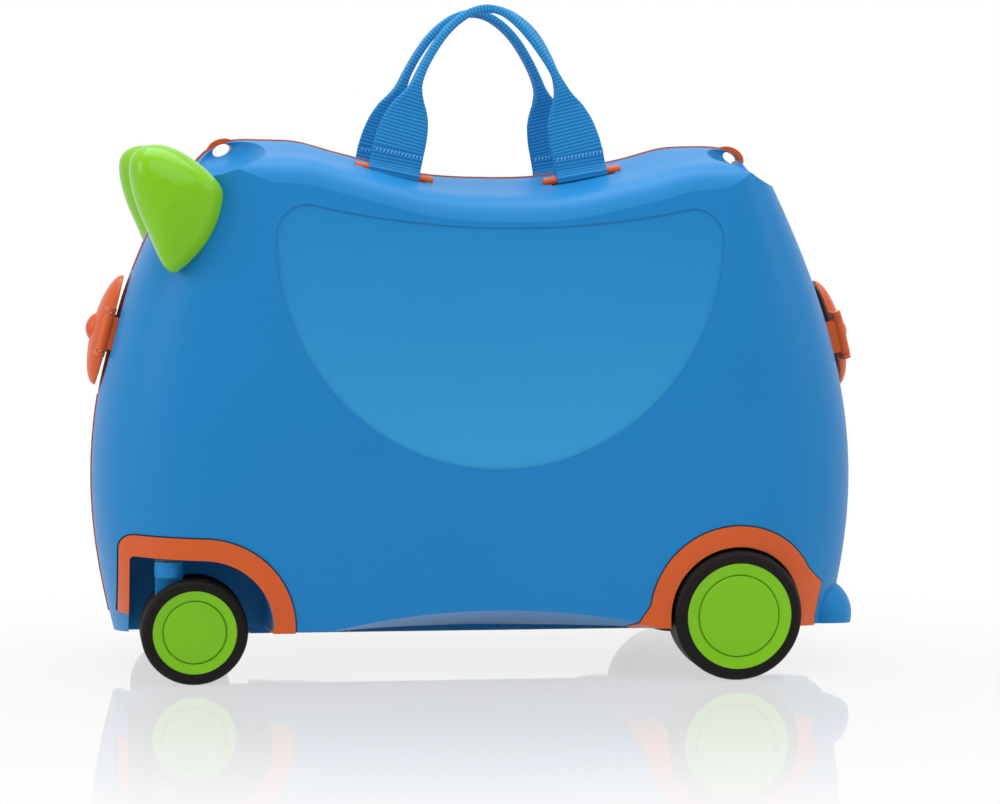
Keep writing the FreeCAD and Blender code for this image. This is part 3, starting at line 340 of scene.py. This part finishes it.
BLUE = plastic(
    "blue_shell",
    tones=((0.009, 0.190, 0.475), (0.012, 0.208, 0.505)),
    rough=(0.38, 0.46),
    grain_scale=1500.0,
    grain=0.10,
    shine=0.16,
    # Painted highlight: paler tones for the floor of the sunk side panels, strongest at their foot
    panel_highlight_tones=((0.030, 0.285, 0.57), (0.034, 0.305, 0.60)),
)
ORANGE = plastic(
    "orange_plastic",
    tones=((0.57, 0.085, 0.012), (0.63, 0.100, 0.015)),
    rough=(0.28, 0.38),
    grain_scale=1700.0,
    grain=0.06,
    shine=0.28,
)
GREEN = plastic(
    "green_plastic",
    tones=((0.175, 0.475, 0.002), (0.20, 0.52, 0.003)),
    rough=(0.18, 0.26),
    grain_scale=1900.0,
    grain=0.04,
    shine=0.28,
)
BUSH = plastic(
    "dark_bush",
    tones=((0.025, 0.034, 0.050), (0.035, 0.046, 0.066)),
    rough=(0.40, 0.50),
    grain_scale=1500.0,
    grain=0.05,
    shine=0.35,
)
TYRE = rubber("black_tyre", tones=((0.007, 0.006, 0.005), (0.012, 0.010, 0.009)))
STEEL = steel("steel", tones=((0.45, 0.45, 0.46), (0.62, 0.62, 0.62)))
# Deep tone: painted shade in the rib grooves; light tone: the strap's dye on the rib crowns
WEBBING = webbing("webbing", tones=((0.005, 0.115, 0.30), (0.026, 0.305, 0.67)))
THREAD = rubber("thread", tones=((0.10, 0.38, 0.72), (0.16, 0.46, 0.78)))

# The last word of a node's name tells its material; the rest are orange
LOOKS = {
    "shell": BLUE,
    "fork": BLUE,
    "tyre": TYRE,
    "hub": GREEN,
    "cap": GREEN,
    "horn": GREEN,
    "screw": STEEL,
    "pin": STEEL,
    "axle": STEEL,
    "clip": STEEL,
    "strikes": STEEL,
    "bush": BUSH,
    "tabs": WEBBING,
    "grip": WEBBING,
}
for name, node in NODES.items():
    node.data.materials.clear()
    node.data.materials.append(LOOKS.get(name.split("_")[-1], ORANGE))
    node.data.polygons.foreach_set("use_smooth", [True] * len(node.data.polygons))
    node.data.set_sharp_from_angle(angle=SOLID_CREASE)


# The webbing of a handle: one strap from bar to bar, with a sewn loop round each bar
def strap_ring(centre, wide, thick, corners):
    """Points round a rounded flat section; wide and thick are half-size vectors."""
    ring = []
    for n in range(corners):
        turn = 2 * math.pi * n / corners
        c = math.cos(turn)
        s = math.sin(turn)
        across = math.copysign(abs(c) ** SQUARENESS, c)
        deep = math.copysign(abs(s) ** SQUARENESS, s)
        ring.append(centre + wide * across + thick * deep)
    return ring


def neighbours(points, n):
    """The points before and after the one with this number, or itself at an end."""
    return points[max(n - 1, 0)], points[min(n + 1, len(points) - 1)]


def running_lengths(points):
    """How far along the row each point lies, in mm."""
    lengths = [0.0]
    for before, after in zip(points, points[1:]):
        lengths.append(lengths[-1] + math.dist(before, after) / MM)
    return lengths


def smooth_between(stations, steps):
    """Catmull-Rom through rows of numbers."""
    rows = []
    for n in range(len(stations) - 1):
        p0 = stations[max(n - 1, 0)]
        p1 = stations[n]
        p2 = stations[n + 1]
        p3 = stations[min(n + 2, len(stations) - 1)]
        for k in range(steps):
            t = k / steps
            rows.append([0.5 * (2 * b + (c - a) * t + (2 * a - 5 * b + 4 * c - e) * t * t
                                + (3 * b - a - 3 * c + e) * t ** 3) for a, b, c, e in zip(p0, p1, p2, p3)])
    rows.append(list(stations[-1]))
    return rows


def add_tube(mesh, uv, rings, lengths, width):
    """Skins a row of rings, with V along the strap and U round it."""
    rows = [[mesh.verts.new(p) for p in ring] for ring in rings]
    count = len(rows[0])
    for r in range(len(rows) - 1):
        for n in range(count):
            m = (n + 1) % count
            face = mesh.faces.new((rows[r][n], rows[r][m], rows[r + 1][m], rows[r + 1][n]))
            face.smooth = True
            for loop, (k, row) in zip(face.loops, ((n, r), (n + 1, r), (n + 1, r + 1), (n, r + 1))):
                loop[uv].uv = (k / count * width, lengths[row])
    mesh.faces.new(rows[0][::-1])
    mesh.faces.new(rows[-1])


def strap_rows(twist):
    """Rows of the whole strap from the rear bar to the front one, the bow's rear side twisted by degrees."""
    rear = [(*row, 0) for row in TAB_ROWS]
    rear += [(*row, share * twist) for row, share in zip(BOW_ROWS, BOW_TWIST_SHARES)]
    front = [(-row[0], *row[1:], 0) for row in TAB_ROWS + BOW_ROWS]
    return smooth_between(rear + [(*BOW_TOP, 0)] + front[::-1], STRAP_STEPS)


def add_strap(mesh, uv, rows, sign, bar_y, flex):
    """The strap from bar to bar; the bow leans in over the seam."""
    centres = []
    for span, up, along, across, turn in rows:
        rise = up * MM
        y = bar_y - sign * math.sin(HANDLE_LEAN) * rise
        z = flex + math.cos(HANDLE_LEAN) * rise
        centres.append(Vector((span * TAB_REACH, y, z)))
    rings = []
    for n, (span, up, along, across, turn) in enumerate(rows):
        before, after = neighbours(centres, n)
        heading = (after - before).normalized()
        side = heading.cross(Vector((0, 1, 0))).normalized()
        out = side.cross(heading).normalized()
        angle = math.radians(turn)
        flat = side * math.cos(angle) + out * math.sin(angle)
        through = heading.cross(flat)
        rings.append(strap_ring(centres[n], flat * along * MM, through * across * MM, STRAP_CORNERS))
    add_tube(mesh, uv, rings, running_lengths(centres), STRAP_WIDTH / MM)


def add_stitches(mesh, uv, middle, along, up):
    """A zigzag row of thread on one face of a tab."""
    step = STRAP_WIDTH / (STITCH_COUNT + 1)
    sizes = (THREAD_TIP, THREAD_RADIUS, THREAD_RADIUS, THREAD_TIP)
    for n in range(STITCH_COUNT):
        start = middle + along * (step * (n + 1) - STRAP_HALF) - up * STITCH_HEIGHT / 2
        end = start + up * STITCH_HEIGHT + along * step * STITCH_SLANT_SHARE
        side = (end - start).normalized().cross(Vector((0, 1, 0)))
        rings = []
        for share, size in zip(THREAD_LENGTH_SHARES, sizes):
            centre = start.lerp(end, share)
            rings.append(strap_ring(centre, side * size, Vector((0, size, 0)), STITCH_CORNERS))
        first = len(mesh.faces)
        add_tube(mesh, uv, rings, range(len(rings)), 1)
        mesh.faces.ensure_lookup_table()
        for face in mesh.faces[first:]:
            face.material_index = 1


def loop_path(rise):
    """Across and up from the bar's middle: down one leg, round the bar and up the other leg."""
    path = []
    for k in range(LEG_STEPS + 1):
        path.append((-LEG_OFFSET, rise + (LEG_FOOT - rise) * k / LEG_STEPS))
    for k in range(LOOP_STEPS + 1):
        turn = LOOP_START + LOOP_SWEEP * k / LOOP_STEPS
        path.append((LOOP_RADIUS * math.cos(turn), LOOP_RADIUS * math.sin(turn)))
    for k in range(LEG_STEPS + 1):
        path.append((LEG_OFFSET, LEG_FOOT + (rise - LEG_FOOT) * k / LEG_STEPS))
    return path


def add_loop(mesh, uv, bar, end, top):
    """One layer of webbing that comes down, goes round the bar and comes up again, with its stitches."""
    along = Vector((math.cos(TAB_TILT), 0, end * math.sin(TAB_TILT)))
    up = Vector((-end * math.sin(TAB_TILT), 0, math.cos(TAB_TILT)))
    across = Vector((0, 1, 0))
    rise = (top - bar).dot(up) + LEG_OVERLAP
    path = loop_path(rise)
    rings = []
    for n, (y, z) in enumerate(path):
        before, after = neighbours(path, n)
        way = Vector((after[0] - before[0], after[1] - before[1])).normalized()
        normal = across * -way.y + up * way.x
        centre = bar + across * y + up * z
        rings.append(strap_ring(centre, along * STRAP_HALF, normal * LAYER / 2, LOOP_CORNERS))
    add_tube(mesh, uv, rings, running_lengths(path), STRAP_WIDTH / MM)
    for face in (-1, 1):
        add_stitches(mesh, uv, bar + up * (rise - STITCH_DROP) + across * face * STITCH_OFFSET, along, up)


def handle_webbing(name, half, sign, twist):
    """The webbing of the near handle (sign -1) or the far one (sign 1)."""
    bar_low, bar_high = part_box(half + "_handle_bars")
    bar_y = (bar_low.y + bar_high.y) / 2
    bar_z = (bar_low.z + bar_high.z) / 2
    flex = JOINTS[half + "_handle_flex"]["pos_m"][2]
    obj = bpy.data.objects.new(name, bpy.data.meshes.new(name))
    bpy.context.scene.collection.objects.link(obj)
    mesh = bmesh.new()
    uv = mesh.loops.layers.uv.new("UVMap")
    add_strap(mesh, uv, strap_rows(twist), sign, bar_y, flex)
    for end in (-1, 1):
        bar = Vector((end * BAR_REACH, bar_y, bar_z))
        top = Vector((end * TAB_REACH, bar_y, flex))
        add_loop(mesh, uv, bar, end, top)
    mesh.to_mesh(obj.data)
    mesh.free()
    obj.data.materials.append(WEBBING)
    obj.data.materials.append(THREAD)
    obj.data.set_sharp_from_angle(angle=STRAP_CREASE)
    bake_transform(obj)
    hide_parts(half + "_handle_tabs", half + "_handle_grip")


handle_webbing("near_webbing", "near", -1, NEAR_TWIST)
handle_webbing("far_webbing", "far", 1, 0)


# Floor and backdrop
def background_ray(tree):
    """One for a ray that shows the background: straight from the camera, mirrored or through glass."""
    path = tree.nodes.new("ShaderNodeLightPath").outputs
    seen = math_node(tree, "MAXIMUM", path["Is Camera Ray"], path["Is Glossy Ray"])
    return math_node(tree, "MAXIMUM", seen, path["Is Transmission Ray"])


def floor_fade(tree):
    """From its least share beside the part to one away from it, in an oval drawn out along the case."""
    spot = tree.nodes.new("ShaderNodeMapping")
    feed(tree, spot.inputs["Vector"], coordinates(tree, "Object"))
    feed(tree, spot.inputs["Location"], FADE_OFFSET)
    feed(tree, spot.inputs["Scale"], FADE_SQUEEZE)
    reach = tree.nodes.new("ShaderNodeVectorMath")
    reach.operation = "LENGTH"
    feed(tree, reach.inputs[0], spot.outputs["Vector"])
    fade = ranged(tree, reach.outputs["Value"], FADE_START, FADE_END, FADE_LEAST_SHARE)
    fade.node.interpolation_type = "SMOOTHSTEP"
    return fade


def floor_material():
    """Polished white floor that fades to the backdrop away from the part, as on a sweep."""
    material, tree, shader = new_material("floor_white")
    speck = noise(tree, coordinates(tree, "Object"), scale=3.0, detail=2.0)
    feed(tree, shader.inputs["Base Color"], mixed(tree, speck, *FLOOR_TONES))
    feed(tree, shader.inputs["Roughness"], 0.6)
    feed(tree, shader.inputs["Specular IOR Level"], 0.0)
    mirror = tree.nodes.new("ShaderNodeBsdfGlossy")
    feed(tree, mirror.inputs["Roughness"], 0.04)
    polished = mixed_shaders(tree, MIRROR_SHARE, shader.outputs["BSDF"], mirror.outputs["BSDF"])
    # It is clear from below, so that light reaches a half that hangs open under it
    clear = tree.nodes.new("ShaderNodeBsdfTransparent")
    from_below = tree.nodes.new("ShaderNodeNewGeometry").outputs["Backfacing"]
    in_view = math_node(tree, "MULTIPLY", floor_fade(tree), background_ray(tree))
    see_through = math_node(tree, "MAXIMUM", in_view, from_below)
    sweep = mixed_shaders(tree, see_through, polished, clear.outputs["BSDF"])
    tree.links.new(sweep, tree.nodes["Material Output"].inputs["Surface"])
    return material


def white_backdrop():
    """White where it is seen, and a dim, slightly cool sky where it only lights."""
    world = bpy.data.worlds.new("studio")
    bpy.context.scene.world = world
    world.use_nodes = True
    tree = world.node_tree
    white = tree.nodes["Background"]
    feed(tree, white.inputs["Color"], (1, 1, 1))
    feed(tree, white.inputs["Strength"], 1.0)
    dim = tree.nodes.new("ShaderNodeBackground")
    feed(tree, dim.inputs["Color"], SKY_TINT)
    feed(tree, dim.inputs["Strength"], SKY_STRENGTH)
    chosen = mixed_shaders(tree, background_ray(tree), dim.outputs["Background"], white.outputs["Background"])
    tree.links.new(chosen, tree.nodes["World Output"].inputs["Surface"])


bpy.ops.mesh.primitive_plane_add(size=FLOOR_SIZE, location=(0, 0, 0))
floor = bpy.context.object
floor.name = "floor"
floor.data.materials.append(floor_material())
white_backdrop()


# Light, in metres and watts
def softbox(name, place, target, size, power):
    light = bpy.data.lights.new(name, "AREA")
    light.shape = "RECTANGLE"
    light.size, light.size_y = size
    light.energy = power
    item = bpy.data.objects.new(name, light)
    bpy.context.scene.collection.objects.link(item)
    item.location = place
    item.rotation_euler = (Vector(target) - Vector(place)).to_track_quat("-Z", "Y").to_euler()


softbox("left", place=(-1.9, -0.5, 0.9), target=(0, 0, 0.15), size=(0.9, 1.2), power=14)
softbox("front", place=(0.0, -0.62, 0.74), target=(0.0, -0.09, 0.22), size=(0.9, 0.4), power=2.6)
softbox("top", place=(0.1, 0.2, 2.2), target=(0, 0, 0.2), size=(2.4, 1.8), power=46)
softbox("right", place=(1.9, -0.6, 0.9), target=(0, 0, 0.15), size=(0.8, 1.2), power=6)

# Camera
camera = bpy.data.objects.new("camera", bpy.data.cameras.new("camera"))
bpy.context.scene.collection.objects.link(camera)
camera.data.sensor_width = SENSOR_WIDTH
camera.data.lens = LENS
camera.data.clip_start = 0.05
camera.data.clip_end = 60.0
forward = Vector((math.sin(YAW) * math.cos(PITCH), math.cos(YAW) * math.cos(PITCH), math.sin(PITCH)))
sideways = Vector((math.cos(YAW), -math.sin(YAW), 0))
upward = sideways.cross(forward)
right_way = sideways * math.cos(ROLL) + upward * math.sin(ROLL)
up_way = upward * math.cos(ROLL) - sideways * math.sin(ROLL)
turned = Matrix((right_way, up_way, -forward)).transposed().to_4x4()
camera.matrix_world = Matrix.Translation(CAMERA_PLACE) @ turned
bpy.context.scene.camera = camera
bpy.context.scene.view_settings.view_transform = "Standard"
bpy.context.scene.view_settings.look = "None"
